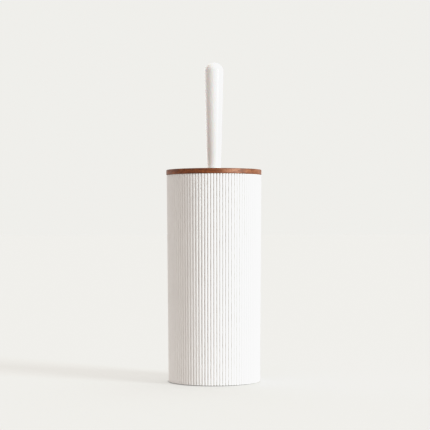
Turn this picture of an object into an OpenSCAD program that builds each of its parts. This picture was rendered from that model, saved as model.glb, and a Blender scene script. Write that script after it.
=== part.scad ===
// Toilet brush holder: ribbed cup, lift-out liner, wooden lid and a turning handle with a screw-on brush head.
// Millimetres, +Z up. The origin is on the floor, at the centre of the feet, on the axis of everything that turns.

/* [Cup] */
// Height from the floor to the underside of the lid
cup_top_z = 238; // [200:1:280]
// Outside diameter over the ribs at the rim
cup_top_d = 109; // [105:0.5:110]
// Outside diameter over the ribs at the foot
cup_foot_d = 105.2; // [103:0.1:109]
// Thickness of the wall behind the ribs
cup_wall = 2.4; // [2.2:0.1:3]
// Thickness of the cup's floor
cup_floor = 4; // [3:0.5:6]
// Number of ribs round the cup
rib_count = 98; // [60:2:120]
// Height of a rib above the groove beside it
rib_depth = 1.5; // [0.8:0.1:1.7]
// Turn of the first groove about the axis, from +X
rib_turn = 1; // [0:0.1:3.6]
// How far the rubber feet stand out below the cup
foot_proud = 0.8; // [0.5:0.1:1.5]

/* [Lid] */
// Diameter of the wooden lid
lid_d = 110; // [109:0.5:114]
// Thickness of the wooden lid
lid_t = 6; // [5:0.5:8]
// Diameter of the bush's flange, which lies on the lid round the foot of the grip
bush_flange_d = 50; // [22:1:56]

/* [Handle] */
// Height of the top of the handle above the floor
handle_top_z = 368; // [340:1:400]
// Diameter of the grip where it meets the lid
grip_low_d = 15.7; // [14.5:0.1:17]
// Diameter of the grip just below its dome
grip_high_d = 21.8; // [19:0.1:24]
// Height of the dome on the grip
dome_h = 9.2; // [7:0.1:11]
// Outside diameter of the steel tube
tube_d = 10; // [9.6:0.1:10.4]

/* [Brush head] */
// Diameter over the bristle tips
bristle_d = 78; // [68:1:82]
// Number of rings of tufts round the hub
tuft_rows = 8; // [5:1:9]
// Height of the lowest bristle tips above the floor, at rest
bristle_low_z = 24; // [23:1:30]

/* [Hidden] */
$fn = 96;
eps = 0.01;

// Clearances
press = 0.02;   // between two pieces pressed together
running = 0.08; // between the tube and the bush that it turns in
fit_gap = 0.05; // between two pieces that screw or glue together

// Cup: radii over the ribs, and the draft that the bore shares with the outside
cup_h = cup_top_z - foot_proud;
cup_foot_r = cup_foot_d / 2;
cup_top_r = cup_top_d / 2;
cup_floor_z = foot_proud + cup_floor;
bore_top_r = cup_top_r - rib_depth - cup_wall;
bore_foot_r = cup_foot_r - rib_depth - cup_wall;
draft = (bore_top_r - bore_foot_r) / (cup_top_z - cup_floor_z);
rib_stations = [-1, -0.85, -0.5, 0, 0.5, 0.85]; // across a rib, from one groove almost to the next
rib_flatness = 2.8;
rebate_depth = 1.8;
rebate_r = cup_top_r - rib_depth - 1;

// Feet
foot_count = 4;
foot_r = 5;
foot_h = 2.5;
foot_ring_r = 40;
foot_chamfer = 0.4;
foot_recess_gap = 0.2;

// Liner: it hangs by its flange from the rebate in the cup's rim
liner_gap = 0.7;
liner_wall = 1.6;
liner_foot_z = cup_floor_z + 2.2;
liner_fillet = 6;
flange_t = 1.5;
flange_z = cup_top_z - rebate_depth;
flange_r = rebate_r - 0.3;
liner_top_r = bore_top_r - liner_gap;
liner_foot_r = liner_top_r - draft * (flange_z - liner_foot_z);
hump_r = 18;
hump_h = 1.2;

// Lid
lid_z = cup_top_z;
lid_top_z = lid_z + lid_t;
lid_r = lid_d / 2;
lid_edge = 0.6;
locator_r = liner_top_r - liner_wall - 0.9;
locator_plate_t = 2.5;
locator_skirt_h = 7;
locator_wall = 1.8;
locator_eye_r = 13;
locator_rib_count = 8;
locator_rib_t = 1.2;
locator_rib_h = 3;
screw_ring_r = 33;
screw_count = 4;
screw_r = 1.45;
screw_grip = 4;
screw_head_r = 2.8;
screw_head_h = 1.8;
bush_r = 8.8;
bush_flange_r = bush_flange_d / 2;
bush_flange_t = 1.2;
bush_below = 1.5;

// Handle
tube_r = tube_d / 2;
tube_wall = 1;
tube_bore_r = tube_r - tube_wall;
washer_t = 0.6;
grip_z = lid_top_z + bush_flange_t + washer_t;
grip_low_r = grip_low_d / 2;
grip_high_r = grip_high_d / 2;
dome_z = handle_top_z - dome_h;
grip_wall = 2.2;
socket_depth = 29;
tube_top_z = grip_z + socket_depth;
insert_h = 12;
insert_r = 4;
insert_z = tube_top_z + 2;
stud_r = 2.75;
collar_r = 9.5;
collar_h = 8;
collar_play = 0.1;
collar_z = lid_z - bush_below - collar_play - collar_h;
set_screw_r = 1.5;

// Brush head, from the bristle tips up
tip_length = 18;
hub_foot_z = bristle_low_z + tip_length;
hub_r = 16;
hub_foot_r = 12;
row_pitch = 6;
first_row_z = hub_foot_z + 5.5;
hub_shoulder_z = first_row_z + row_pitch * (tuft_rows - 1) + 4;
hub_neck_r = 9.5;
hub_top_z = hub_shoulder_z + 13;
head_washer_t = 1.5;
head_washer_r = 7.5;
stud_flange_t = 2;
stud_flange_r = 6.5;
stud_flange_z = hub_top_z + head_washer_t;
tube_foot_z = stud_flange_z + stud_flange_t;
thread_major_r = 4.6;
thread_minor_r = 4;
thread_pitch = 4;
thread_turns = 3;
thread_length = thread_pitch * thread_turns;
hub_insert_r = 6;
tuft_disc_t = 1.2;

// Points on an arc about [x, y], from angle a0 to a1
function arc(x, y, r, a0, a1, steps) =
    [for (i = [0:steps]) let (a = a0 + (a1 - a0) * i / steps) [x + r * cos(a), y + r * sin(a)]];

// Height of a rib at u, which runs from -1 to 1 across it: a broad crest between narrow grooves
function rib_height(u) = rib_depth * sqrt(1 - pow(abs(u), rib_flatness));

// Closed outline of the ribbed cup whose rib crests lie at radius r
function ribbed_outline(r) =
    [for (i = [0:rib_count - 1], u = rib_stations)
        let (a = rib_turn + 360 * (i + (u + 1) / 2) / rib_count)
        (r - rib_depth + rib_height(u)) * [cos(a), sin(a)]];

// Copies of the children spaced evenly round the axis at a radius
module ring_of(count, radius, turn = 0) {
    for (i = [0:count - 1])
        rotate(turn + 360 * i / count)
            translate([radius, 0, 0]) children();
}

// A plain ring from z up by h
module tube_ring(outer, inner, z, h) {
    translate([0, 0, z])
        difference() {
            cylinder(r = outer, h = h);
            translate([0, 0, -1]) cylinder(r = inner, h = h + 2);
        }
}

// ---- Holder ----

module holder_shell() {
    color("white")
    difference() {
        translate([0, 0, foot_proud])
            linear_extrude(height = cup_h, scale = cup_top_r / cup_foot_r)
                polygon(ribbed_outline(cup_foot_r));
        translate([0, 0, cup_floor_z])
            cylinder(r1 = bore_foot_r, r2 = bore_top_r + draft, h = cup_top_z - cup_floor_z + 1);
        translate([0, 0, flange_z]) cylinder(r = rebate_r, h = rebate_depth + 1);
        ring_of(foot_count, foot_ring_r, 45)
            cylinder(r = foot_r + foot_recess_gap, h = foot_h);
    }
}

module rubber_feet() {
    color("gainsboro")
    ring_of(foot_count, foot_ring_r, 45)
        rotate_extrude()
            polygon([[0, 0], [foot_r - foot_chamfer, 0], [foot_r, foot_chamfer], [foot_r, foot_h], [0, foot_h]]);
}

// ---- Liner ----

// Half section of the liner, with a low hump that sends drips to the edge of its floor
module liner_section() {
    inner_foot_r = liner_foot_r - liner_wall;
    inner_top_r = liner_top_r - liner_wall;
    inner_fillet = liner_fillet - liner_wall;
    floor_z = liner_foot_z + liner_wall;
    polygon(concat(
        [[0, liner_foot_z + hump_h], [hump_r, liner_foot_z]],
        arc(liner_foot_r - liner_fillet, liner_foot_z + liner_fillet, liner_fillet, -90, 0, 8),
        [[liner_top_r, flange_z], [flange_r, flange_z], [flange_r, flange_z + flange_t],
         [inner_top_r, flange_z + flange_t]],
        arc(inner_foot_r - inner_fillet, floor_z + inner_fillet, inner_fillet, 0, -90, 8),
        [[hump_r, floor_z], [0, floor_z + hump_h]]));
}

module liner_cup() {
    color("whitesmoke") rotate_extrude() liner_section();
}

// ---- Lid ----

module lid_disc() {
    color("sienna")
    difference() {
        translate([0, 0, lid_z])
            rotate_extrude()
                polygon([[0, 0], [lid_r - lid_edge, 0], [lid_r, lid_edge],
                         [lid_r, lid_t - lid_edge], [lid_r - lid_edge, lid_t], [0, lid_t]]);
        translate([0, 0, lid_z - 1]) cylinder(r = bush_r + fit_gap, h = lid_t + 2);
        translate([0, 0, lid_z - 1])
            ring_of(screw_count, screw_ring_r)
                cylinder(r = screw_r + fit_gap, h = screw_grip + 1.5);
    }
}

// Ribbed plate with a skirt, screwed under the lid, which centres it in the liner's mouth
module lid_locator() {
    plate_z = lid_z - locator_plate_t;
    skirt_r = locator_r - locator_wall;
    color("whitesmoke")
    difference() {
        union() {
            tube_ring(locator_r, locator_eye_r, plate_z, locator_plate_t);
            tube_ring(locator_r, skirt_r, lid_z - locator_skirt_h, locator_skirt_h);
            tube_ring(locator_eye_r + locator_wall, locator_eye_r, plate_z - locator_rib_h, locator_rib_h + 1);
            for (i = [0:locator_rib_count - 1])
                rotate(180 / locator_rib_count + 360 * i / locator_rib_count)
                    translate([locator_eye_r + 1, -locator_rib_t / 2, plate_z - locator_rib_h])
                        cube([skirt_r - locator_eye_r, locator_rib_t, locator_rib_h + 1]);
        }
        translate([0, 0, plate_z - 1])
            ring_of(screw_count, screw_ring_r)
                cylinder(r = screw_r + 0.15, h = locator_plate_t + 2);
    }
}

module locator_screws() {
    slot_w = 0.8;
    slot_l = 3.2;
    slot_h = 0.9;
    head_z = lid_z - locator_plate_t - screw_head_h;
    color("silver")
    ring_of(screw_count, screw_ring_r)
        difference() {
            union() {
                translate([0, 0, head_z])
                    rotate_extrude()
                        polygon([[0, 0], [screw_head_r - 0.9, 0], [screw_head_r - 0.3, 0.4],
                                 [screw_head_r, 1], [screw_head_r, screw_head_h], [0, screw_head_h]]);
                translate([0, 0, head_z + screw_head_h - eps])
                    cylinder(r = screw_r, h = locator_plate_t + screw_grip);
            }
            for (turn = [0, 90])
                rotate(turn)
                    translate([-slot_l / 2, -slot_w / 2, head_z - 1])
                        cube([slot_l, slot_w, slot_h + 1]);
        }
}

module lid_bush() {
    color("white")
    rotate_extrude()
        polygon([[tube_r + running, lid_z - bush_below], [bush_r, lid_z - bush_below], [bush_r, lid_top_z],
                 [bush_flange_r, lid_top_z], [bush_flange_r, lid_top_z + bush_flange_t - 0.4],
                 [bush_flange_r - 0.4, lid_top_z + bush_flange_t], [tube_r + running, lid_top_z + bush_flange_t]]);
}

// ---- Handle ----

// Radius of the grip's outside at height z, below the dome
function grip_r(z) = grip_low_r + (grip_high_r - grip_low_r) * (z - grip_z) / (dome_z - grip_z);

// Half outline of the grip's outside, drawn in by a wall thickness
function grip_outline(from_z, wall) = concat(
    [[0, from_z], [grip_r(from_z) - wall, from_z]],
    [for (i = [0:15]) let (a = 90 * i / 16)
        [(grip_high_r - wall) * cos(a), dome_z + (dome_h - wall) * sin(a)]],
    [[0, handle_top_z - wall]]);

module grip() {
    hollow_z = insert_z + insert_h;
    color("white")
    difference() {
        rotate_extrude() polygon(grip_outline(grip_z, 0));
        rotate_extrude() polygon(grip_outline(hollow_z, grip_wall));
        translate([0, 0, grip_z - 1]) cylinder(r = tube_r + fit_gap, h = socket_depth + 1);
        translate([0, 0, tube_top_z - 1]) cylinder(r = insert_r, h = hollow_z - tube_top_z + 1.5);
    }
}

module grip_insert() {
    color("gold") tube_ring(insert_r - press, stud_r + fit_gap, insert_z, insert_h);
}

// Stud pressed into the tube's top, which screws into the grip's insert
module upper_stud() {
    plug_h = 13;
    color("silver") {
        translate([0, 0, tube_top_z - plug_h]) cylinder(r = tube_bore_r - press, h = plug_h);
        translate([0, 0, tube_top_z - eps]) cylinder(r = stud_r, h = insert_h);
    }
}

module rod_tube() {
    color("silver") tube_ring(tube_r, tube_bore_r, tube_foot_z, tube_top_z - tube_foot_z);
}

module thrust_washer() {
    color("white") tube_ring(grip_low_r - 0.6, tube_r + 0.15, lid_top_z + bush_flange_t, washer_t);
}

// Collar that keeps the lid on the handle, held by a set screw
module stop_collar() {
    edge = 0.6;
    color("silver")
    difference() {
        translate([0, 0, collar_z])
            rotate_extrude()
                polygon([[tube_r + fit_gap, 0], [collar_r - edge, 0], [collar_r, edge],
                         [collar_r, collar_h - edge], [collar_r - edge, collar_h], [tube_r + fit_gap, collar_h]]);
        translate([tube_r - 1, 0, collar_z + collar_h / 2])
            rotate([0, 90, 0]) cylinder(r = set_screw_r + fit_gap, h = collar_r);
    }
}

module collar_screw() {
    length = collar_r - tube_r - 0.3;
    socket_r = 0.85;
    color("dimgray")
    translate([tube_r + fit_gap, 0, collar_z + collar_h / 2])
        rotate([0, 90, 0])
            difference() {
                cylinder(r = set_screw_r, h = length);
                translate([0, 0, length - 1.6]) cylinder(r = socket_r, h = 2, $fn = 6);
            }
}

// Half outline of a coarse thread drawn as rings, from z up by the thread's length
function thread_outline(z) = [
    for (i = [0:thread_turns - 1], p = [[thread_minor_r, 0], [thread_major_r, 0.9], [thread_major_r, 1.9],
                                        [thread_minor_r, 2.8]])
        [p[0], z + i * thread_pitch + p[1]]];

// Stud pressed into the tube's foot, with the coarse thread that the head screws onto
module lower_stud() {
    plug_h = 14;
    thread_z = stud_flange_z - thread_length;
    color("white")
    rotate_extrude()
        polygon(concat(
            [[0, thread_z]],
            thread_outline(thread_z),
            [[thread_minor_r, stud_flange_z], [stud_flange_r, stud_flange_z], [stud_flange_r, tube_foot_z],
             [tube_bore_r - press, tube_foot_z], [tube_bore_r - press, tube_foot_z + plug_h],
             [0, tube_foot_z + plug_h]]));
}

// ---- Brush head ----

module head_washer() {
    color("dimgray") tube_ring(head_washer_r, thread_major_r + 0.2, hub_top_z, head_washer_t);
}

module head_hub() {
    socket_z = hub_top_z - thread_length - 3;
    color("white")
    difference() {
        rotate_extrude()
            polygon(concat(
                [[0, hub_foot_z], [hub_foot_r, hub_foot_z]],
                arc(hub_foot_r, hub_foot_z + 4, 4, -90, 0, 6),
                [[hub_r, hub_shoulder_z - 4]],
                arc(hub_r - 4, hub_shoulder_z - 4, 4, 0, 60, 4),
                [[hub_neck_r, hub_shoulder_z + 2.5], [hub_neck_r, hub_top_z - 0.8],
                 [hub_neck_r - 0.8, hub_top_z], [0, hub_top_z]]));
        translate([0, 0, socket_z]) cylinder(r = hub_insert_r, h = hub_top_z - socket_z + 1);
    }
}

module hub_insert() {
    color("gold")
    tube_ring(hub_insert_r - press, thread_major_r + 0.06, hub_top_z - thread_length - 2, thread_length + 2);
}

// Each thin disc stands for one ring of tufts
module bristles_side() {
    color("ivory")
    for (i = [0:tuft_rows - 1])
        tube_ring(bristle_d / 2, hub_r + fit_gap, first_row_z + row_pitch * i - tuft_disc_t / 2, tuft_disc_t);
}

// Each thin cone stands for one circle of the tufts that fan out below the hub
module bristles_tip() {
    wall = 1;
    color("ivory")
    for (root_r = [3, 7, 11]) {
        fan = root_r * 0.75;
        rotate_extrude()
            polygon([[root_r - wall, hub_foot_z], [root_r - wall + fan, bristle_low_z],
                     [root_r + fan, bristle_low_z], [root_r, hub_foot_z]]);
    }
}

holder_shell();
rubber_feet();
liner_cup();
lid_disc();
lid_locator();
locator_screws();
lid_bush();
grip();
grip_insert();
upper_stud();
rod_tube();
thrust_washer();
stop_collar();
collar_screw();
lower_stud();
head_washer();
head_hub();
hub_insert();
bristles_side();
bristles_tip();
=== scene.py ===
"""Looks of the toilet brush holder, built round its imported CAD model. Metres, +Z up."""
import math
import random

import bmesh
import bpy
import numpy as np
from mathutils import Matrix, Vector


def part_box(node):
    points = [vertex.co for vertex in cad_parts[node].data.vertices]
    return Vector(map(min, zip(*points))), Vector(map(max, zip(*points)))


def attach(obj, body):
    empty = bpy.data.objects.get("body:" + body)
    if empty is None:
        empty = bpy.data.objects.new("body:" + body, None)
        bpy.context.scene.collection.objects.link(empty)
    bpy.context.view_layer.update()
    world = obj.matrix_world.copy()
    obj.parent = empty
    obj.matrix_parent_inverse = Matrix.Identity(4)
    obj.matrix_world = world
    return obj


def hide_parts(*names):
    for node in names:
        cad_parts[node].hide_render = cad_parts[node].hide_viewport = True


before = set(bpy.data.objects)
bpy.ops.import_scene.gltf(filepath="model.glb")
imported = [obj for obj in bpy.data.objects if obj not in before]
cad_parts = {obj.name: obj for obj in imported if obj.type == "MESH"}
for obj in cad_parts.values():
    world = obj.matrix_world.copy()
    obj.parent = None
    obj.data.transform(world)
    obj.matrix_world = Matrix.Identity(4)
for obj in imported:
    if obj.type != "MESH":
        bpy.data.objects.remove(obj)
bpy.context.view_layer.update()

MM = 0.001
TAU = 2 * math.pi

# ---------------------------------------------------------------- sizes that the CAD boxes don't give
CUP_TOP_R = 54.5 * MM
CUP_FOOT_R = 52.6 * MM
RIB_COUNT = 98
RIB_DEPTH = 1.5 * MM
RIB_TURN_DEG = 1.0
RIB_FLATNESS = 2.8
RIB_COLUMNS = 16
GROOVE_ROUNDING = 0.14
REBATE_R = 52 * MM
REBATE_DEPTH = 1.8 * MM
BORE_TOP_R = 50.6 * MM
BORE_FOOT_R = 48.7 * MM
CUP_FLOOR = 4 * MM
BASE_RINGS_R = (30 * MM, 46 * MM)
CUP_EDGE_R = 0.35 * MM
CUP_EDGE_STEPS = 4
CUP_SIDE_STEPS = 10

FOOT_COUNT = 4
FOOT_RING_R = 40 * MM
FOOT_R = 5 * MM
FOOT_GROOVE = 0.25 * MM
RECESS_R = FOOT_R + 0.2 * MM
RECESS_TOP_Z = 2.5 * MM

LINER_WALL = 1.6 * MM
LINER_TOP_R = 49.9 * MM
LINER_FOOT_R = 47.97 * MM
LINER_FLANGE_T = 1.5 * MM
LINER_HUMP = (18 * MM, 1.2 * MM)

BUSH_R = 8.8 * MM
BUSH_FLANGE_T = 1.2 * MM
LID_EDGE_R = 0.7 * MM

TUBE_GAP = 0.08 * MM
TUBE_WALL = 1 * MM
GRIP_LOW_R = 7.85 * MM
GRIP_WALL = 2.2 * MM
GRIP_SIDE_STEPS = 8
DOME_H = 9.2 * MM
DOME_STEPS = 24

HUB_NECK_R = 9.5 * MM
HUB_NECK_H = 10.5 * MM
THREAD_PITCH = 4 * MM
THREAD_MAJOR_R = 4.6 * MM
THREAD_MINOR_R = 4 * MM
THREAD_GAP = 0.18 * MM
THREAD_COLUMNS = 64
STUD_FLANGE_R = 6.5 * MM
STUD_FLANGE_T = 2 * MM
# A thread's profile, in shares of its pitch: half its width at the root, one flank's width, and its run-out
THREAD_HALF_ROOT = 0.36
THREAD_FLANK = 0.14
THREAD_RUN_OUT = 0.3

FILAMENT_R = 0.19 * MM
FILAMENT_TAPER = 0.25
FILAMENT_RINGS = 4
FILAMENT_SIDES = 3
FILAMENT_ROOTING = 1 * MM
# How unlike each other filaments are: the spread of their lean and bend, and how much shorter some are cut
LEAN_SPREAD = 0.025
BEND_SPREAD = 0.25 * MM
SHORTEST_CUT = 0.025
SIDE_TUFT_ROWS = 8
SIDE_TUFTS_IN_ROW = 17
# A tuft: the radius of its hole, how far it flares for its length, and its filaments
SIDE_TUFT = {"hole_r": 1.7 * MM, "flare": 0.19, "count": 52}
TIP_TUFT = {"hole_r": 1.6 * MM, "flare": 0.15, "count": 44}
# Rings of tip tufts: the ring's radius in millimetres, and its tufts. The outer ones lean out more.
TIP_TUFT_RINGS = ((2.5, 5), (6.5, 10), (10.5, 15))
TIP_LEAN_PER_MM = 0.065


# ---------------------------------------------------------------- mesh helpers
def finish_mesh(name, verts, faces, sharp_angle=35):
    """A clean, smooth-shaded object whose faces point outwards and whose edges past sharp_angle are sharp."""
    mesh = bpy.data.meshes.new(name)
    mesh.from_pydata([tuple(v) for v in verts], [], faces)
    bm = bmesh.new()
    bm.from_mesh(mesh)
    bmesh.ops.recalc_face_normals(bm, faces=bm.faces)
    bm.to_mesh(mesh)
    bm.free()
    mesh.shade_smooth()
    mesh.set_sharp_from_angle(angle=math.radians(sharp_angle))
    obj = bpy.data.objects.new(name, mesh)
    bpy.context.scene.collection.objects.link(obj)
    return obj


def even_shading(obj):
    """Keeps large flat faces flat beside their small rounded edges."""
    modifier = obj.modifiers.new("even_shading", "WEIGHTED_NORMAL")
    modifier.keep_sharp = True
    modifier.weight = 50
    return obj


def rounded(points, steps=5):
    """An outline of (r, z) points, with each (r, z, radius) corner replaced by an arc of that radius."""
    outline = []
    for i, point in enumerate(points):
        if len(point) == 2:
            outline.append(tuple(point))
            continue
        corner = Vector(point[:2])
        before = (Vector(points[i - 1][:2]) - corner).normalized()
        after = (Vector(points[(i + 1) % len(points)][:2]) - corner).normalized()
        half = before.angle(after) / 2
        radius = point[2]
        centre = corner + (before + after).normalized() * (radius / math.sin(half))
        start = corner + before * (radius / math.tan(half)) - centre
        end = corner + after * (radius / math.tan(half)) - centre
        turn = start.angle_signed(end)
        for k in range(steps + 1):
            a = -turn * k / steps
            c, s = math.cos(a), math.sin(a)
            outline.append((centre.x + start.x * c - start.y * s, centre.y + start.x * s + start.y * c))
    return outline


def join_rings(rings, ends_closed_by_poles):
    """Faces between rings of equally many points. Poles are the centres of the first and the last ring."""
    count, size = rings.shape[:2]
    verts = list(rings.reshape(-1, 3))
    faces = []
    spans = count - 1 if ends_closed_by_poles else count
    for i in range(spans):
        a, b = i * size, (i + 1) % count * size
        for j in range(size):
            k = (j + 1) % size
            faces.append((a + j, a + k, b + k, b + j))
    if ends_closed_by_poles:
        for ring in (0, count - 1):
            verts.append(rings[ring].mean(axis=0))
            pole, base = len(verts) - 1, ring * size
            faces += [(base + j, base + (j + 1) % size, pole) for j in range(size)]
    return verts, faces


def lathe(name, outline, segments=96, centre=(0, 0)):
    """Turns an (r, z) outline about a vertical axis, with poles if it starts and ends at r = 0."""
    on_axis = outline[0][0] == 0
    points = outline[1:-1] if on_axis else outline
    angles = np.arange(segments) * TAU / segments
    rings = np.array([[(centre[0] + r * math.cos(a), centre[1] + r * math.sin(a), z) for a in angles]
                      for r, z in points])
    verts, faces = join_rings(rings, on_axis)
    if on_axis:
        verts[-2] = (centre[0], centre[1], outline[0][1])
        verts[-1] = (centre[0], centre[1], outline[-1][1])
    return even_shading(finish_mesh(name, verts, faces))


def join(name, objects):
    """One object from several, keeping the first one's modifiers."""
    with bpy.context.temp_override(active_object=objects[0], selected_editable_objects=objects,
                                   selected_objects=objects):
        bpy.ops.object.join()
    objects[0].name = name
    return objects[0]


def place(obj, body, slot, material, *nodes):
    """Gives a piece its material and its body, and hides the CAD nodes that it stands for."""
    obj.data.materials.clear()
    obj.data.materials.append(material)
    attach(obj, body)
    if nodes:
        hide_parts(*nodes)
    return obj


# ---------------------------------------------------------------- material helpers
class Nodes:
    """A node tree, with short calls for its procedural nodes."""

    def __init__(self, tree):
        self.tree = tree

    def node(self, kind, settings=None, **inputs):
        """Adds a node. An input is a number, a colour or another node's output."""
        node = self.tree.nodes.new(kind)
        for key, value in (settings or {}).items():
            setattr(node, key, value)
        for key, value in inputs.items():
            socket = node.inputs[int(key[1:])] if key[0] == "i" and key[1:].isdigit() else node.inputs[key]
            if isinstance(value, bpy.types.NodeSocket):
                self.tree.links.new(value, socket)
            else:
                socket.default_value = value
        return node

    def spread(self, value, low, high, from_low=0.3, from_high=0.7, curve="LINEAR"):
        """Maps from_low to from_high onto low to high. Values beyond those two get low or high."""
        keys = {"From Min": from_low, "From Max": from_high, "To Min": low, "To Max": high}
        node = self.node("ShaderNodeMapRange", {"interpolation_type": curve}, Value=value, **keys)
        return node.outputs["Result"]

    def mix(self, factor, a, b, blend="MIX"):
        node = self.node("ShaderNodeMix", {"data_type": "RGBA", "blend_type": blend})
        for socket, value in ((node.inputs[0], factor), (node.inputs[6], a), (node.inputs[7], b)):
            if isinstance(value, bpy.types.NodeSocket):
                self.tree.links.new(value, socket)
            elif isinstance(value, tuple):
                socket.default_value = (*value, 1)
            else:
                socket.default_value = value
        return node.outputs[2]

    def math(self, operation, a, b=0.0):
        return self.node("ShaderNodeMath", {"operation": operation}, i0=a, i1=b).outputs[0]

    def length(self, vector):
        return self.node("ShaderNodeVectorMath", {"operation": "LENGTH"}, i0=vector).outputs["Value"]


class Shader(Nodes):
    """A Principled material with short calls for its textures and sockets."""

    def __init__(self, name, **sockets):
        self.material = bpy.data.materials.new(name)
        self.material.use_nodes = True
        super().__init__(self.material.node_tree)
        self.principled = self.tree.nodes["Principled BSDF"]
        for key, value in sockets.items():
            socket = key.replace("_", " ").title().replace("Ior", "IOR")
            self.principled.inputs[socket].default_value = value

    def place_of(self, scale=(1, 1, 1)):
        """Object coordinates, which are the shared frame's metres, stretched by scale."""
        coordinates = self.node("ShaderNodeTexCoord").outputs["Object"]
        return self.node("ShaderNodeMapping", Vector=coordinates, Scale=scale).outputs["Vector"]

    def noise(self, scale, detail=3.0, roughness=0.5, stretch=(1, 1, 1), distortion=0.0):
        return self.node("ShaderNodeTexNoise", Vector=self.place_of(stretch), Scale=scale, Detail=detail,
                         Roughness=roughness, Distortion=distortion).outputs["Fac"]

    def ramp(self, value, stops):
        node = self.node("ShaderNodeValToRGB", Fac=value)
        elements = node.color_ramp.elements
        while len(elements) < len(stops):
            elements.new(0.5)
        for element, (position, colour) in zip(elements, stops):
            element.position = position
            element.color = (*colour, 1)
        return node.outputs["Color"]

    def bump(self, height, distance, strength=1.0):
        node = self.node("ShaderNodeBump", Height=height, Distance=distance, Strength=strength)
        self.tree.links.new(node.outputs["Normal"], self.principled.inputs["Normal"])

    def link(self, output, socket):
        self.tree.links.new(output, self.principled.inputs[socket])


def srgb(*levels):
    """Linear colour from 8-bit display levels."""
    return tuple(((c / 255 + 0.055) / 1.055) ** 2.4 if c > 10 else c / 255 / 12.92 for c in levels)


def scaled(colour, factor):
    return tuple(min(1.0, c * factor) for c in colour)


# ---------------------------------------------------------------- materials
def moulded(name, colour, roughness, grain=1400, grain_depth=0.02 * MM, variation=0.02, **sockets):
    """Moulded plastic: a faint drift of tone, a fine surface grain and an uneven gloss."""
    shader = Shader(name, **sockets)
    drift = shader.noise(45, detail=4)
    tone = shader.ramp(drift, [(0.3, scaled(colour, 1 - variation)), (0.7, scaled(colour, 1 + variation))])
    shader.link(tone, "Base Color")
    fine = shader.noise(grain, detail=2)
    shader.link(shader.spread(fine, roughness - 0.05, roughness + 0.05), "Roughness")
    shader.bump(fine, grain_depth)
    return shader.material


# The wood's colour runs through these stops as its grain value rises
GRAIN_STOPS = (0.36, 0.5, 0.64)
WOOD_DARK = (srgb(82, 37, 8), srgb(113, 56, 17), srgb(148, 83, 38))
WOOD_LIGHT = (srgb(118, 66, 38), srgb(155, 97, 62), srgb(184, 128, 92))
# The colour of the painted shade on the rim's rounded edges
WOOD_RIM_SHADE = srgb(84, 46, 22)
WOOD_PORE = srgb(58, 32, 20)
FIGURE_SHARE = 0.55
# Along X the wood turns from dark to light over the first span, and part of the way back over the second
LIGHTER_X = (4 * MM, 24 * MM)
DARKER_X = (30 * MM, 42 * MM)
DARKER_SHARE = 0.45
BOARD_WANDER = 8 * MM
# Painted shade darkens the rim's rounded edges: how far out that starts, and how far from the middle of its
# thickness
RIM_SHADE_R = (53.2 * MM, 54.6 * MM)
RIM_SHADE_RISE = (1.5 * MM, 2.9 * MM)
RIM_SHADE_SHARE = 0.35
PORE_SHARE = 0.6


def oiled_wood(name):
    """Reddish-brown hardwood, grain along X: growth bands, fibres, dark pores, a lighter part and painted
    shade on the rim's edges.
    """
    shader = Shader(name, specular_ior_level=0.4)
    figure = shader.noise(190, detail=3, roughness=0.55, stretch=(0.16, 1, 1.5), distortion=0.6)
    fibre = shader.noise(1500, detail=4, roughness=0.65, stretch=(0.05, 1, 1))
    grain = shader.math("ADD", shader.math("MULTIPLY", figure, FIGURE_SHARE),
                        shader.math("MULTIPLY", fibre, 1 - FIGURE_SHARE))
    dark = shader.ramp(grain, list(zip(GRAIN_STOPS, WOOD_DARK)))
    light = shader.ramp(grain, list(zip(GRAIN_STOPS, WOOD_LIGHT)))
    spot = shader.node("ShaderNodeSeparateXYZ", Vector=shader.place_of()).outputs
    wander = shader.spread(shader.noise(28, detail=2), -BOARD_WANDER, BOARD_WANDER)
    board = shader.math("ADD", spot["X"], wander)
    tone = shader.mix(shader.spread(board, 0, 1, *LIGHTER_X), dark, light)
    tone = shader.mix(shader.spread(board, 0, DARKER_SHARE, *DARKER_X), tone, dark)
    # Painted shade: the rim's rounded top and bottom edges are darkened
    low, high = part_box("lid_disc")
    from_middle = shader.math("ABSOLUTE", shader.math("SUBTRACT", spot["Z"], (low.z + high.z) / 2))
    rim = shader.spread(shader.length(shader.place_of((1, 1, 0))), 0, 1, *RIM_SHADE_R)
    rim_shade = shader.math("MULTIPLY", rim, shader.spread(from_middle, 0, RIM_SHADE_SHARE, *RIM_SHADE_RISE))
    tone = shader.mix(rim_shade, tone, WOOD_RIM_SHADE)
    pores = shader.spread(shader.noise(2600, detail=2, stretch=(0.1, 1, 1)), 1, 0, 0.3, 0.42)
    tone = shader.mix(shader.math("MULTIPLY", pores, PORE_SHARE), tone, WOOD_PORE)
    shader.link(tone, "Base Color")
    shader.link(shader.spread(fibre, 0.42, 0.6), "Roughness")
    relief = shader.math("SUBTRACT", shader.math("MULTIPLY", fibre, 0.4), pores)
    shader.bump(relief, 0.05 * MM)
    return shader.material


def brushed_steel(name, stretch):
    """Stainless steel with fine drawn lines, which are long where stretch is small."""
    shader = Shader(name, metallic=1.0)
    lines = shader.noise(5200, detail=3, stretch=stretch)
    patches = shader.noise(160, detail=3)
    shader.link(shader.ramp(patches, [(0.3, (0.50, 0.50, 0.49)), (0.7, (0.60, 0.60, 0.59))]), "Base Color")
    shader.link(shader.spread(lines, 0.2, 0.38), "Roughness")
    shader.bump(lines, 0.008 * MM)
    return shader.material


def turned_brass(name):
    """Brass with fine rings left by the lathe."""
    shader = Shader(name, metallic=1.0)
    patches = shader.noise(300, detail=3)
    rings = shader.noise(9000, detail=1, stretch=(0.1, 0.1, 1))
    shader.link(shader.ramp(patches, [(0.3, (0.62, 0.42, 0.16)), (0.7, (0.76, 0.55, 0.24))]), "Base Color")
    shader.link(shader.spread(rings, 0.2, 0.4), "Roughness")
    shader.bump(rings, 0.006 * MM)
    return shader.material


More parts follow.
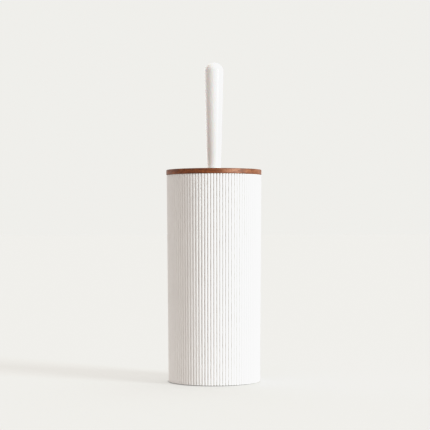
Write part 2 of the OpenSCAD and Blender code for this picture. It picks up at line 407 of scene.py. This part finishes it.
def filaments(name):
    """Extruded filaments whose white drifts slightly from place to place."""
    shader = Shader(name, subsurface_weight=0.1, subsurface_scale=1 * MM, specular_ior_level=0.4)
    shader.principled.inputs["Subsurface Radius"].default_value = (1.0, 0.9, 0.8)
    drift = shader.noise(900, detail=2)
    tone = shader.ramp(drift, [(0.3, srgb(240, 239, 234)), (0.7, srgb(252, 251, 248))])
    shader.link(tone, "Base Color")
    shader.link(shader.spread(drift, 0.3, 0.42), "Roughness")
    return shader.material


CUP_WHITE = (0.77, 0.76, 0.75)
GRIP_WHITE = (0.77, 0.765, 0.76)
resin = moulded("matte_white_resin", CUP_WHITE, 0.62, grain=2600, grain_depth=0.012 * MM,
                variation=0.012, specular_ior_level=0.35)
liner_plastic = moulded("satin_white_liner", srgb(232, 232, 229), 0.42, grain=900, grain_depth=0.01 * MM)
fitting_plastic = moulded("satin_white_nylon", srgb(232, 231, 227), 0.4, grain=1600, grain_depth=0.008 * MM)
grip_plastic = moulded("glossy_white_grip", GRIP_WHITE, 0.2, grain=700, grain_depth=0.003 * MM,
                       variation=0.01, coat_weight=1.0, coat_roughness=0.08, subsurface_weight=0.12,
                       subsurface_scale=4 * MM)
hub_plastic = moulded("smooth_white_hub", srgb(233, 233, 230), 0.33, grain=900, grain_depth=0.006 * MM)
foot_rubber = moulded("grey_foot_rubber", srgb(96, 94, 92), 0.75, grain=2200, grain_depth=0.02 * MM,
                      variation=0.06)
seal_rubber = moulded("black_seal_rubber", srgb(34, 34, 34), 0.6, grain=2200, grain_depth=0.015 * MM,
                      variation=0.1)
wood = oiled_wood("oiled_reddish_hardwood")
steel_long = brushed_steel("drawn_steel_tube", (1, 1, 0.03))
steel_turned = brushed_steel("turned_steel", (0.05, 0.05, 1))
brass = turned_brass("turned_brass")
bristle = filaments("white_bristle_filament")


# ---------------------------------------------------------------- holder
def rib_profile(columns):
    """Height of each column of one rib, from 0 in the groove to 1 on the crest, with a rounded groove."""
    u = np.linspace(-1, 1, columns, endpoint=False)
    height = np.sqrt(1 - np.abs(u) ** RIB_FLATNESS)
    return (height + np.sqrt(height ** 2 + GROOVE_ROUNDING ** 2)) / (1 + math.sqrt(1 + GROOVE_ROUNDING ** 2))


def foot_places():
    """Centres of the feet, which stand on one ring, each halfway between two axes."""
    angles = [TAU * (foot + 0.5) / FOOT_COUNT for foot in range(FOOT_COUNT)]
    return [(FOOT_RING_R * math.cos(a), FOOT_RING_R * math.sin(a)) for a in angles]


def cut_recesses(cup, base_z):
    """Cuts a recess for each foot into the cup's base."""
    start_z = base_z - 1 * MM
    outline = [(0, start_z), (RECESS_R, start_z), (RECESS_R, RECESS_TOP_Z), (0, RECESS_TOP_Z)]
    cutters = [lathe(f"recess_{i}", outline, 48, place_xy) for i, place_xy in enumerate(foot_places())]
    for cutter in cutters:
        cut = cup.modifiers.new("recess", "BOOLEAN")
        cut.operation = "DIFFERENCE"
        cut.solver = "EXACT"
        cut.object = cutter
    graph = bpy.context.evaluated_depsgraph_get()
    solid = bpy.data.meshes.new_from_object(cup.evaluated_get(graph))
    cup.modifiers.clear()
    cup.data = solid
    solid.name = "ribbed_cup"
    for cutter in cutters:
        bpy.data.objects.remove(cutter)
    solid.shade_smooth()
    solid.set_sharp_from_angle(angle=math.radians(50))


def make_ribbed_cup():
    low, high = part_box("holder_shell")
    columns = RIB_COUNT * RIB_COLUMNS
    heights = np.tile(rib_profile(RIB_COLUMNS), RIB_COUNT)
    angles = math.radians(RIB_TURN_DEG) + np.arange(columns) * TAU / columns
    rebate_z = high.z - REBATE_DEPTH
    floor_z = low.z + CUP_FLOOR

    def ribbed(z, inset=0.0):
        crest = CUP_FOOT_R + (CUP_TOP_R - CUP_FOOT_R) * (z - low.z) / (high.z - low.z)
        return crest - inset - RIB_DEPTH * (1 - heights), z

    def plain(r, z):
        return np.full(columns, r), z

    def edge_arc():
        """Rise and inset of the rings that round the ribs off at the foot. Swapped, they do so at the rim."""
        for k in range(CUP_EDGE_STEPS + 1):
            a = math.pi / 2 * k / CUP_EDGE_STEPS
            yield CUP_EDGE_R * (1 - math.cos(a)), CUP_EDGE_R * (1 - math.sin(a))

    inside = [(REBATE_R + 0.3 * MM, high.z)] + rounded(
        [(CUP_TOP_R - RIB_DEPTH, high.z), (REBATE_R, high.z, 0.3 * MM), (REBATE_R, rebate_z),
         (BORE_TOP_R, rebate_z, 0.25 * MM), (BORE_FOOT_R, floor_z, 3 * MM), (0, floor_z)])[1:-1]
    # The rings run out under the base, up the ribs, over the rim and down the inside to the floor
    rings = [plain(r, low.z) for r in BASE_RINGS_R]
    rings += [ribbed(low.z + rise, inset) for rise, inset in edge_arc()]
    rings += [ribbed(low.z + (high.z - low.z) * k / CUP_SIDE_STEPS) for k in range(1, CUP_SIDE_STEPS)]
    rings += [ribbed(high.z - inset, rise) for rise, inset in edge_arc()]
    rings += [plain(r, z) for r, z in inside]
    rings += [plain(BASE_RINGS_R[0], floor_z)]
    grid = np.array([np.column_stack((r * np.cos(angles), r * np.sin(angles), np.full(columns, z)))
                     for r, z in rings])
    cup = finish_mesh("ribbed_cup", *join_rings(grid, True))
    cut_recesses(cup, low.z)
    even_shading(cup)
    place(cup, "holder", "shell", resin, "holder_shell")


def make_feet():
    low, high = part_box("rubber_feet")
    groove_middle = FOOT_R / 2
    groove_side = 0.3 * MM
    outline = rounded([
        (0, low.z), (groove_middle - groove_side, low.z), (groove_middle, low.z + FOOT_GROOVE, 0.1 * MM),
        (groove_middle + groove_side, low.z), (FOOT_R, low.z, 0.4 * MM), (FOOT_R, high.z, 0.1 * MM),
        (0, high.z)])
    pads = [lathe(f"pad_{i}", outline, 48, place_xy) for i, place_xy in enumerate(foot_places())]
    place(join("foot_pads", pads), "holder", "foot_rubber", foot_rubber, "rubber_feet")


# ---------------------------------------------------------------- liner
def make_liner():
    low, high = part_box("liner_cup")
    flange_z = high.z - LINER_FLANGE_T
    hump_r, hump_h = LINER_HUMP
    inner_top = LINER_TOP_R - LINER_WALL
    inner_foot = LINER_FOOT_R - LINER_WALL
    outline = rounded([
        (0, low.z + hump_h), (hump_r, low.z, 8 * MM), (LINER_FOOT_R, low.z, 6 * MM),
        (LINER_TOP_R, flange_z, 0.3 * MM), (high.x, flange_z, 0.4 * MM), (high.x, high.z, 0.5 * MM),
        (inner_top, high.z, 0.6 * MM), (inner_foot, low.z + LINER_WALL, 4.4 * MM),
        (hump_r, low.z + LINER_WALL, 8 * MM), (0, low.z + LINER_WALL + hump_h)], steps=8)
    place(lathe("liner", outline, 128), "liner", "liner", liner_plastic, "liner_cup")


# ---------------------------------------------------------------- lid
def make_lid():
    low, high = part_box("lid_disc")
    hole = BUSH_R + 0.05 * MM
    outline = rounded([(hole, low.z, 0.2 * MM), (high.x, low.z, LID_EDGE_R), (high.x, high.z, LID_EDGE_R),
                       (hole, high.z, 0.2 * MM)])
    place(lathe("wooden_lid", outline, 192), "lid", "lid_wood", wood, "lid_disc")


def make_bush():
    low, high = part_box("lid_bush")
    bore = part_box("rod_tube")[1].x + TUBE_GAP
    under_flange = high.z - BUSH_FLANGE_T
    outline = rounded([
        (bore, low.z, 0.3 * MM), (BUSH_R, low.z, 0.4 * MM), (BUSH_R, under_flange),
        (high.x, under_flange, 0.2 * MM), (high.x, high.z, 0.6 * MM), (bore, high.z, 0.3 * MM)])
    place(lathe("lid_bush_ring", outline), "lid", "fittings", fitting_plastic, "lid_bush")


# ---------------------------------------------------------------- handle
def make_grip():
    low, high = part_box("grip")
    tube_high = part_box("rod_tube")[1]
    insert_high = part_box("grip_insert")[1]
    socket_r = tube_high.x + 0.05 * MM
    dome_z = high.z - DOME_H
    near_axis = 0.01 * MM

    def side_r(z):
        return GRIP_LOW_R + (high.x - GRIP_LOW_R) * (z - low.z) / (dome_z - low.z)

    def dome(wall, order):
        return [((high.x - wall) * math.cos(a), dome_z + (DOME_H - wall) * math.sin(a))
                for a in (math.pi / 2 * k / DOME_STEPS for k in order)]

    foot = rounded([(socket_r, low.z, 0.3 * MM), (GRIP_LOW_R, low.z, 0.5 * MM), (high.x, dome_z)])[:-1]
    side_zs = [low.z + (dome_z - low.z) * k / GRIP_SIDE_STEPS for k in range(1, GRIP_SIDE_STEPS)]
    outside = foot + [(side_r(z), z) for z in side_zs] + dome(0, range(DOME_STEPS))
    top = [(near_axis, high.z), (near_axis, high.z - GRIP_WALL)]
    hollow = dome(GRIP_WALL, range(DOME_STEPS - 1, -1, -1))
    hollow += [(side_r(insert_high.z) - GRIP_WALL, insert_high.z), (insert_high.x, insert_high.z)]
    socket = [(insert_high.x, tube_high.z), (socket_r, tube_high.z)]
    # One closed loop: up the outside to the dome's top, then down the hollow to the socket
    loop = outside + top + hollow + socket
    place(lathe("grip_moulding", loop, 128), "handle", "grip", grip_plastic, "grip")


def make_tube():
    low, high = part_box("rod_tube")
    bore = high.x - TUBE_WALL
    outline = rounded([(bore, low.z), (high.x, low.z, 0.2 * MM), (high.x, high.z, 0.2 * MM), (bore, high.z)])
    place(lathe("steel_tube", outline), "handle", "steel", steel_long, "rod_tube")


def make_thrust_washer():
    low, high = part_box("thrust_washer")
    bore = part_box("rod_tube")[1].x + 0.15 * MM
    edge = 0.15 * MM
    outline = rounded([(bore, low.z), (high.x, low.z, edge), (high.x, high.z, edge), (bore, high.z)])
    place(lathe("thrust_ring", outline), "handle", "fittings", fitting_plastic, "thrust_washer")


def thread_height(z, angle, ends):
    """0 in the root and 1 on the crest of a right-hand thread, fading out at both ends."""
    turn = ((z - ends[0]) / THREAD_PITCH - angle / TAU) % 1.0
    flank = min(1.0, max(0.0, (THREAD_HALF_ROOT - abs(turn - 0.5)) / THREAD_FLANK))
    fade = min(1.0, max(0.0, min(z - ends[0], ends[1] - z) / (THREAD_RUN_OUT * THREAD_PITCH)))
    return flank * fade


def threaded_rings(ends, root_r, crest_r, steps_per_turn=20):
    """Rings up a right-hand thread between two heights."""
    steps = round((ends[1] - ends[0]) / THREAD_PITCH * steps_per_turn)
    rings = []
    for i in range(steps + 1):
        z = ends[0] + (ends[1] - ends[0]) * i / steps
        row = []
        for j in range(THREAD_COLUMNS):
            a = TAU * j / THREAD_COLUMNS
            r = root_r + (crest_r - root_r) * thread_height(z, a, ends)
            row.append((r * math.cos(a), r * math.sin(a), z))
        rings.append(row)
    return rings


def plain_rings(outline):
    """Round rings through an (r, z) outline, which join on to threaded ones."""
    angles = [TAU * j / THREAD_COLUMNS for j in range(THREAD_COLUMNS)]
    return [[(r * math.cos(a), r * math.sin(a), z) for a in angles] for r, z in outline]


def thread_ends():
    """Heights of the lower stud's foot and of its flange's underside."""
    flange_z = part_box("rod_tube")[0].z - STUD_FLANGE_T
    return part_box("lower_stud")[0].z, flange_z


def make_lower_stud():
    low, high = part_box("lower_stud")
    flange_z = thread_ends()[1]
    tube_low, tube_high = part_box("rod_tube")
    plug_r = tube_high.x - TUBE_WALL - 0.02 * MM
    nose = rounded([(0, low.z), (THREAD_MINOR_R, low.z, 0.5 * MM), (THREAD_MINOR_R, low.z + 1 * MM)])[1:-1]
    flange = rounded([(THREAD_MINOR_R, flange_z), (STUD_FLANGE_R, flange_z, 0.4 * MM),
                      (STUD_FLANGE_R, tube_low.z, 0.4 * MM), (plug_r, tube_low.z), (plug_r, high.z)])
    threaded = threaded_rings((low.z + 0.8 * MM, flange_z - 0.2 * MM), THREAD_MINOR_R, THREAD_MAJOR_R)
    rings = np.array(plain_rings(nose) + threaded + plain_rings(flange))
    stud = finish_mesh("threaded_stud", *join_rings(rings, True), sharp_angle=45)
    place(stud, "handle", "fittings", fitting_plastic, "lower_stud")


# ---------------------------------------------------------------- brush head
def make_head_washer():
    low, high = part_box("head_washer")
    bore = THREAD_MAJOR_R + 0.2 * MM
    round_edge = 0.6 * MM
    outline = rounded([(bore, low.z, round_edge), (high.x, low.z, round_edge), (high.x, high.z, round_edge),
                       (bore, high.z, round_edge)])
    place(lathe("head_seal", outline), "seal", "seal_rubber", seal_rubber, "head_washer")


def make_hub():
    low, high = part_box("head_hub")
    insert_low, insert_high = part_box("hub_insert")
    hub_r = high.x
    socket_r = insert_high.x
    shoulder_z = high.z - HUB_NECK_H
    outline = rounded([
        (0, low.z), (hub_r, low.z, 4.5 * MM), (hub_r, shoulder_z - 2.5 * MM, 4 * MM),
        (HUB_NECK_R, shoulder_z, 1.5 * MM), (HUB_NECK_R, high.z, 0.8 * MM), (socket_r, high.z, 0.3 * MM),
        (socket_r, insert_low.z - 1 * MM), (0, insert_low.z - 1 * MM)], steps=8)
    place(lathe("brush_hub", outline), "head", "hub", hub_plastic, "head_hub")


def make_hub_insert():
    low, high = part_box("hub_insert")
    thread_foot = thread_ends()[0]
    root_r = THREAD_MINOR_R + THREAD_GAP
    crest_r = THREAD_MAJOR_R + THREAD_GAP
    outer = rounded([(THREAD_MAJOR_R, low.z), (high.x, low.z, 0.2 * MM), (high.x, high.z, 0.2 * MM),
                     (crest_r, high.z)])
    bore = threaded_rings((thread_foot + 0.8 * MM, high.z - 0.1 * MM), root_r, crest_r)
    rings = np.array(plain_rings(outer) + bore[::-1])
    insert = finish_mesh("threaded_insert", *join_rings(rings, False), sharp_angle=45)
    place(insert, "head", "brass", brass, "hub_insert")


def filament_points(root, tip, sag):
    """Points of one slightly bent filament: rings from root to tip."""
    axis = (tip - root).normalized()
    side = axis.orthogonal().normalized()
    other = axis.cross(side)
    points = []
    for i in range(FILAMENT_RINGS):
        t = i / (FILAMENT_RINGS - 1)
        middle = root.lerp(tip, t) + sag * (4 * t * (1 - t))
        r = FILAMENT_R * (1 - FILAMENT_TAPER * t)
        for k in range(FILAMENT_SIDES):
            a = TAU * k / FILAMENT_SIDES
            points.append(middle + side * (r * math.cos(a)) + other * (r * math.sin(a)))
    return points


def filament_faces(start):
    """Faces of one filament, closed at both ends, whose first point is number start."""
    sides = FILAMENT_SIDES
    faces = []
    for i in range(FILAMENT_RINGS - 1):
        for k in range(sides):
            a, b = start + i * sides, start + (i + 1) * sides
            faces.append((a + k, a + (k + 1) % sides, b + (k + 1) % sides, b + k))
    last = start + (FILAMENT_RINGS - 1) * sides
    faces.append(tuple(range(start + sides - 1, start - 1, -1)))
    faces.append(tuple(range(last, last + sides)))
    return faces


def tuft(rng, verts, faces, root, outward, length, hole_r, flare, count):
    """Adds a tuft: filaments packed into one hole, which spread as they leave it."""
    side = outward.orthogonal().normalized()
    other = outward.cross(side)
    for _ in range(count):
        a = rng.random() * TAU
        d = math.sqrt(rng.random())
        offset = side * math.cos(a) + other * math.sin(a)
        foot = root + offset * (hole_r * d)
        lean = offset * (flare * d) + Vector([rng.gauss(0, LEAN_SPREAD) for _ in range(3)])
        reach = length * (1 + rng.uniform(-SHORTEST_CUT, 0.0))
        tip = foot + (outward + lean).normalized() * reach
        sag = Vector([rng.gauss(0, BEND_SPREAD) for _ in range(3)])
        faces += filament_faces(len(verts))
        verts += filament_points(foot - outward * FILAMENT_ROOTING, tip, sag)


def make_side_bristles():
    rng = random.Random(7)
    low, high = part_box("bristles_side")
    hub_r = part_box("head_hub")[1].x
    inset = 0.6 * MM
    length = high.x - hub_r
    verts, faces = [], []
    for row in range(SIDE_TUFT_ROWS):
        z = low.z + inset + (high.z - low.z - 2 * inset) * row / (SIDE_TUFT_ROWS - 1)
        for k in range(SIDE_TUFTS_IN_ROW):
            a = TAU * (k + 0.5 * (row % 2)) / SIDE_TUFTS_IN_ROW
            outward = Vector((math.cos(a), math.sin(a), 0))
            tuft(rng, verts, faces, outward * hub_r + Vector((0, 0, z)), outward, length, **SIDE_TUFT)
    brush = finish_mesh("side_bristles", verts, faces, sharp_angle=180)
    place(brush, "head", "bristles", bristle, "bristles_side")


def make_tip_bristles():
    rng = random.Random(11)
    low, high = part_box("bristles_tip")
    verts, faces = [], []
    length = high.z - low.z
    for ring_r, tufts in TIP_TUFT_RINGS:
        for k in range(tufts):
            a = TAU * (k + 0.3) / tufts
            across = Vector((math.cos(a), math.sin(a), 0))
            outward = across * (TIP_LEAN_PER_MM * ring_r) + Vector((0, 0, -1))
            root = across * (ring_r * MM) + Vector((0, 0, high.z))
            tuft(rng, verts, faces, root, outward.normalized(), length, **TIP_TUFT)
    brush = finish_mesh("tip_bristles", verts, faces, sharp_angle=180)
    place(brush, "head", "bristles", bristle, "bristles_tip")


def dress_cad_nodes():
    """The small fittings whose CAD shape is right keep it and get a finished material."""
    finishes = {"lid_locator": fitting_plastic, "grip_insert": brass, "locator_screws": steel_turned,
                "upper_stud": steel_turned, "stop_collar": steel_turned, "collar_screw": steel_turned}
    for node, material in finishes.items():
        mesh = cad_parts[node].data
        mesh.materials.clear()
        mesh.materials.append(material)


# ---------------------------------------------------------------- studio
BACKDROP = srgb(240, 239, 235)
FLOOR_REACH = 60
FLOOR_TONE = (0.43, 0.4355, 0.433)
# The floor's glow as it is seen, and as it lights the object: near the origin, far away, and how far that is
FLOOR_GLOW = 0.412
BOUNCE_NEAR = 0.62
BOUNCE_FAR = 0.22
BOUNCE_REACH = 0.7
# Under the cup the floor glows less, a painted contact shadow. That patch is set back from the key, which
# reaches in under the edge.
SHADE_CENTRE = (-2 * MM, 1 * MM, 0)
SHADE_EDGE = (50 * MM, 53 * MM)
SHADE_GLOW = 0.2
# Light from around, and the part of the direction's X, Y or Z over which each comes in
SIDE_LIGHT = (0.43, 0.325, 0.28)
BACK_LIGHT = (1.25, 1.23, 1.2)
BACK_FROM_Y = (0.15, 0.85)
TOP_LIGHT = (1.35, 1.31, 1.24)
TOP_FROM_Z = (0.3, 1.0)
RIM_PANEL = (0.7, 0.7, 0.72)
RIM_FROM_X = (-0.5, -0.9)
RIM_FROM_Y = (0.1, 0.35)
KEY_STRENGTH = 1.0
KEY_COLOUR = (0.86, 0.96, 1.0)
KEY_SPREAD_DEG = 20
KEY_AZIMUTH_DEG = 57
KEY_ELEVATION_DEG = 12
# The display curve, as (scene value, shown value) points up to the whitest scene value
WHITEST = 1.6
SHOULDER = ((0, 0), (0.45, 0.45), (0.86, 0.86), (0.95, 0.915), (1.08, 0.94), (1.3, 0.96), (1.6, 0.97))
# The camera looks along +Y, tilted up a little and rolled a little
CAMERA_DISTANCE = 1.573
CAMERA_ACROSS = 0.0012
CAMERA_HEIGHT = 0.1736
CAMERA_TILT_DEG = 0.67
CAMERA_ROLL_DEG = 0.1
LENS_MM = 113.9
SENSOR_MM = 36


def soften_highlights(view):
    """A shoulder in the display curve, so that the brightest whites roll off as a camera's do."""
    view.use_curve_mapping = True
    mapping = view.curve_mapping
    mapping.white_level = (WHITEST, WHITEST, WHITEST)
    curve = mapping.curves[3]
    for x, y in SHOULDER[1:-1]:
        curve.points.new(x / WHITEST, y)
    for point, (x, y) in zip(curve.points, SHOULDER):
        point.location = (x / WHITEST, y)
        point.handle_type = "VECTOR"
    mapping.update()


def studio_world():
    """Light, brightest overhead and behind, with a rim panel that only gloss reflects, and a backdrop."""
    world = bpy.data.worlds.new("studio")
    world.use_nodes = True
    nodes = Nodes(world.node_tree)
    direction = nodes.node("ShaderNodeTexCoord").outputs["Generated"]
    axes = nodes.node("ShaderNodeSeparateXYZ", Vector=direction).outputs
    rays = nodes.node("ShaderNodeLightPath").outputs

    def comes_in(axis, span):
        return nodes.spread(axes[axis], 0, 1, *span, curve="SMOOTHSTEP")

    room = nodes.mix(comes_in("Y", BACK_FROM_Y), SIDE_LIGHT, BACK_LIGHT)
    panel = nodes.math("MULTIPLY", comes_in("X", RIM_FROM_X), comes_in("Y", RIM_FROM_Y))
    glossy_panel = nodes.math("MULTIPLY", panel, rays["Is Glossy Ray"])
    room = nodes.mix(glossy_panel, room, RIM_PANEL, blend="ADD")
    room = nodes.mix(comes_in("Z", TOP_FROM_Z), room, TOP_LIGHT)
    shown = nodes.mix(rays["Is Camera Ray"], room, BACKDROP)
    nodes.tree.links.new(shown, nodes.tree.nodes["Background"].inputs["Color"])
    return world


def floor_material():
    """A floor that glows in the backdrop's tone. The light it gives is less far off, and under the cup a
    painted contact shadow cuts its glow.
    """
    shader = Shader("studio_floor", roughness=1.0, specular_ior_level=0.0)
    shader.principled.inputs["Base Color"].default_value = (*FLOOR_TONE, 1)
    shader.principled.inputs["Emission Color"].default_value = (*BACKDROP, 1)
    bounce = shader.spread(shader.length(shader.place_of()), BOUNCE_NEAR, BOUNCE_FAR, 0, BOUNCE_REACH)
    seen = shader.node("ShaderNodeLightPath").outputs["Is Camera Ray"]
    glow = shader.spread(seen, bounce, FLOOR_GLOW, 0, 1)
    # Painted contact shadow: the glow is cut under the cup, set back from the key
    from_shade = shader.node("ShaderNodeVectorMath", {"operation": "SUBTRACT"}, i0=shader.place_of(),
                             i1=SHADE_CENTRE).outputs["Vector"]
    open_floor = shader.spread(shader.length(from_shade), SHADE_GLOW, 1, *SHADE_EDGE)
    shader.link(shader.math("MULTIPLY", glow, open_floor), "Emission Strength")
    return shader.material


def make_floor():
    mesh = bpy.data.meshes.new("floor")
    corners = [(x * FLOOR_REACH, y * FLOOR_REACH, 0) for x, y in ((-1, -1), (1, -1), (1, 1), (-1, 1))]
    mesh.from_pydata(corners, [], [(0, 1, 2, 3)])
    floor = bpy.data.objects.new("floor", mesh)
    bpy.context.scene.collection.objects.link(floor)
    mesh.materials.append(floor_material())


def make_key():
    """A soft sun from the right and front, low over the floor."""
    key = bpy.data.lights.new("key", "SUN")
    key.energy = KEY_STRENGTH * math.pi
    key.color = KEY_COLOUR
    key.angle = math.radians(KEY_SPREAD_DEG)
    key_object = bpy.data.objects.new("key", key)
    azimuth, elevation = math.radians(KEY_AZIMUTH_DEG), math.radians(KEY_ELEVATION_DEG)
    towards = Vector((math.sin(azimuth) * math.cos(elevation), -math.cos(azimuth) * math.cos(elevation),
                      math.sin(elevation)))
    key_object.rotation_mode = "QUATERNION"
    key_object.rotation_quaternion = towards.to_track_quat("Z", "Y")
    bpy.context.scene.collection.objects.link(key_object)


def make_camera():
    camera = bpy.data.cameras.new("camera")
    camera.lens = LENS_MM
    camera.sensor_width = SENSOR_MM
    camera_object = bpy.data.objects.new("camera", camera)
    camera_object.location = (CAMERA_ACROSS, -CAMERA_DISTANCE, CAMERA_HEIGHT)
    camera_object.rotation_euler = (math.radians(90 + CAMERA_TILT_DEG), math.radians(CAMERA_ROLL_DEG), 0)
    bpy.context.scene.collection.objects.link(camera_object)
    bpy.context.scene.camera = camera_object


def make_studio():
    scene = bpy.context.scene
    scene.view_settings.view_transform = "Standard"
    soften_highlights(scene.view_settings)
    scene.world = studio_world()
    make_floor()
    make_key()
    make_camera()


make_studio()
make_ribbed_cup()
make_feet()
make_liner()
make_lid()
make_bush()
make_grip()
make_tube()
make_thrust_washer()
make_lower_stud()
make_head_washer()
make_hub()
make_hub_insert()
make_side_bristles()
make_tip_bristles()
dress_cad_nodes()
